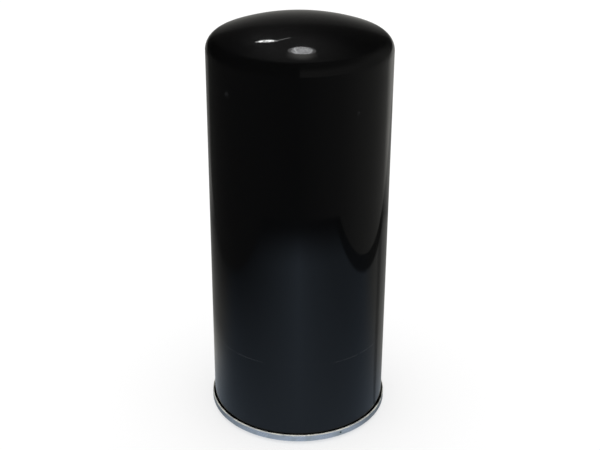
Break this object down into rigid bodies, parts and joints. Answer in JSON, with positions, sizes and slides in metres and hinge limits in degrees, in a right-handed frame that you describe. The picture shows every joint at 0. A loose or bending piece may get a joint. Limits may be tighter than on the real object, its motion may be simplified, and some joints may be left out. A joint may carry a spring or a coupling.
{
  "type": "oil filter",
  "caption": "Tall spin-on oil filter: black domed can, rolled zinc seam, rubber gasket and threaded plate, with a pleated paper element, relief valve and anti-drainback valve inside.",
  "frame": {"origin": "centre of the gasket's sealing face, which is the lowest plane of the part", "axes": "+Z along the filter's axis from the threaded end to the dome, +X and +Y across it"},
  "size_m": [0.0954, 0.0954, 0.2175],
  "materials": {
    "gloss_black_paint": "gloss",
    "zinc_plate": "bright zinc, lightly worn",
    "seam_compound": "matte",
    "plate_steel": "oiled stamped steel",
    "nitrile_rubber": "satin",
    "silicone_rubber": "satin",
    "tinplate": "bright tinplate",
    "plastisol": "satin",
    "filter_paper": "matte resin-treated paper",
    "hot_melt": "satin",
    "spring_steel": "drawn wire"
  },
  "bodies": {
    "housing": {"shell_can": "gloss_black_paint", "seaming_lid": "zinc_plate", "seam_compound": "seam_compound", "thread_plate": "plate_steel", "sealing_gasket": "nitrile_rubber", "drainback_diaphragm": "silicone_rubber", "element_spring": "spring_steel"},
    "drainback_lip": {"drainback_lip": "silicone_rubber"},
    "element": {"lower_end_cap": "tinplate", "upper_end_cap": "tinplate", "lower_potting": "plastisol", "upper_potting": "plastisol", "pleated_media": "filter_paper", "pleat_clip": "tinplate", "centre_tube": "tinplate", "media_band_1": "hot_melt", "media_band_2": "hot_melt", "media_band_3": "hot_melt", "bypass_cage": "tinplate", "bypass_seat": "plate_steel", "bypass_spring": "spring_steel", "spring_seat": "tinplate"},
    "bypass_valve": {"bypass_poppet": "plate_steel", "bypass_seal": "nitrile_rubber"}
  },
  "joints": [
    {"name": "drainback_lift", "type": "slide", "parent": "housing", "child": "drainback_lip", "axis": [0, 0, 1], "range_m": [0, 0.0025], "stiffness_N_per_m": 300, "springref_m": -0.001, "deforming": ["drainback_diaphragm"]},
    {"name": "element_float", "type": "slide", "parent": "housing", "child": "element", "axis": [0, 0, 1], "range_m": [0, 0.003], "stiffness_N_per_m": 5000, "springref_m": -0.012, "deforming": ["element_spring"]},
    {"name": "bypass_lift", "type": "slide", "parent": "element", "child": "bypass_valve", "axis": [0, 0, -1], "range_m": [0, 0.0035], "stiffness_N_per_m": 1500, "springref_m": -0.012, "deforming": ["bypass_spring"]}
  ]
}
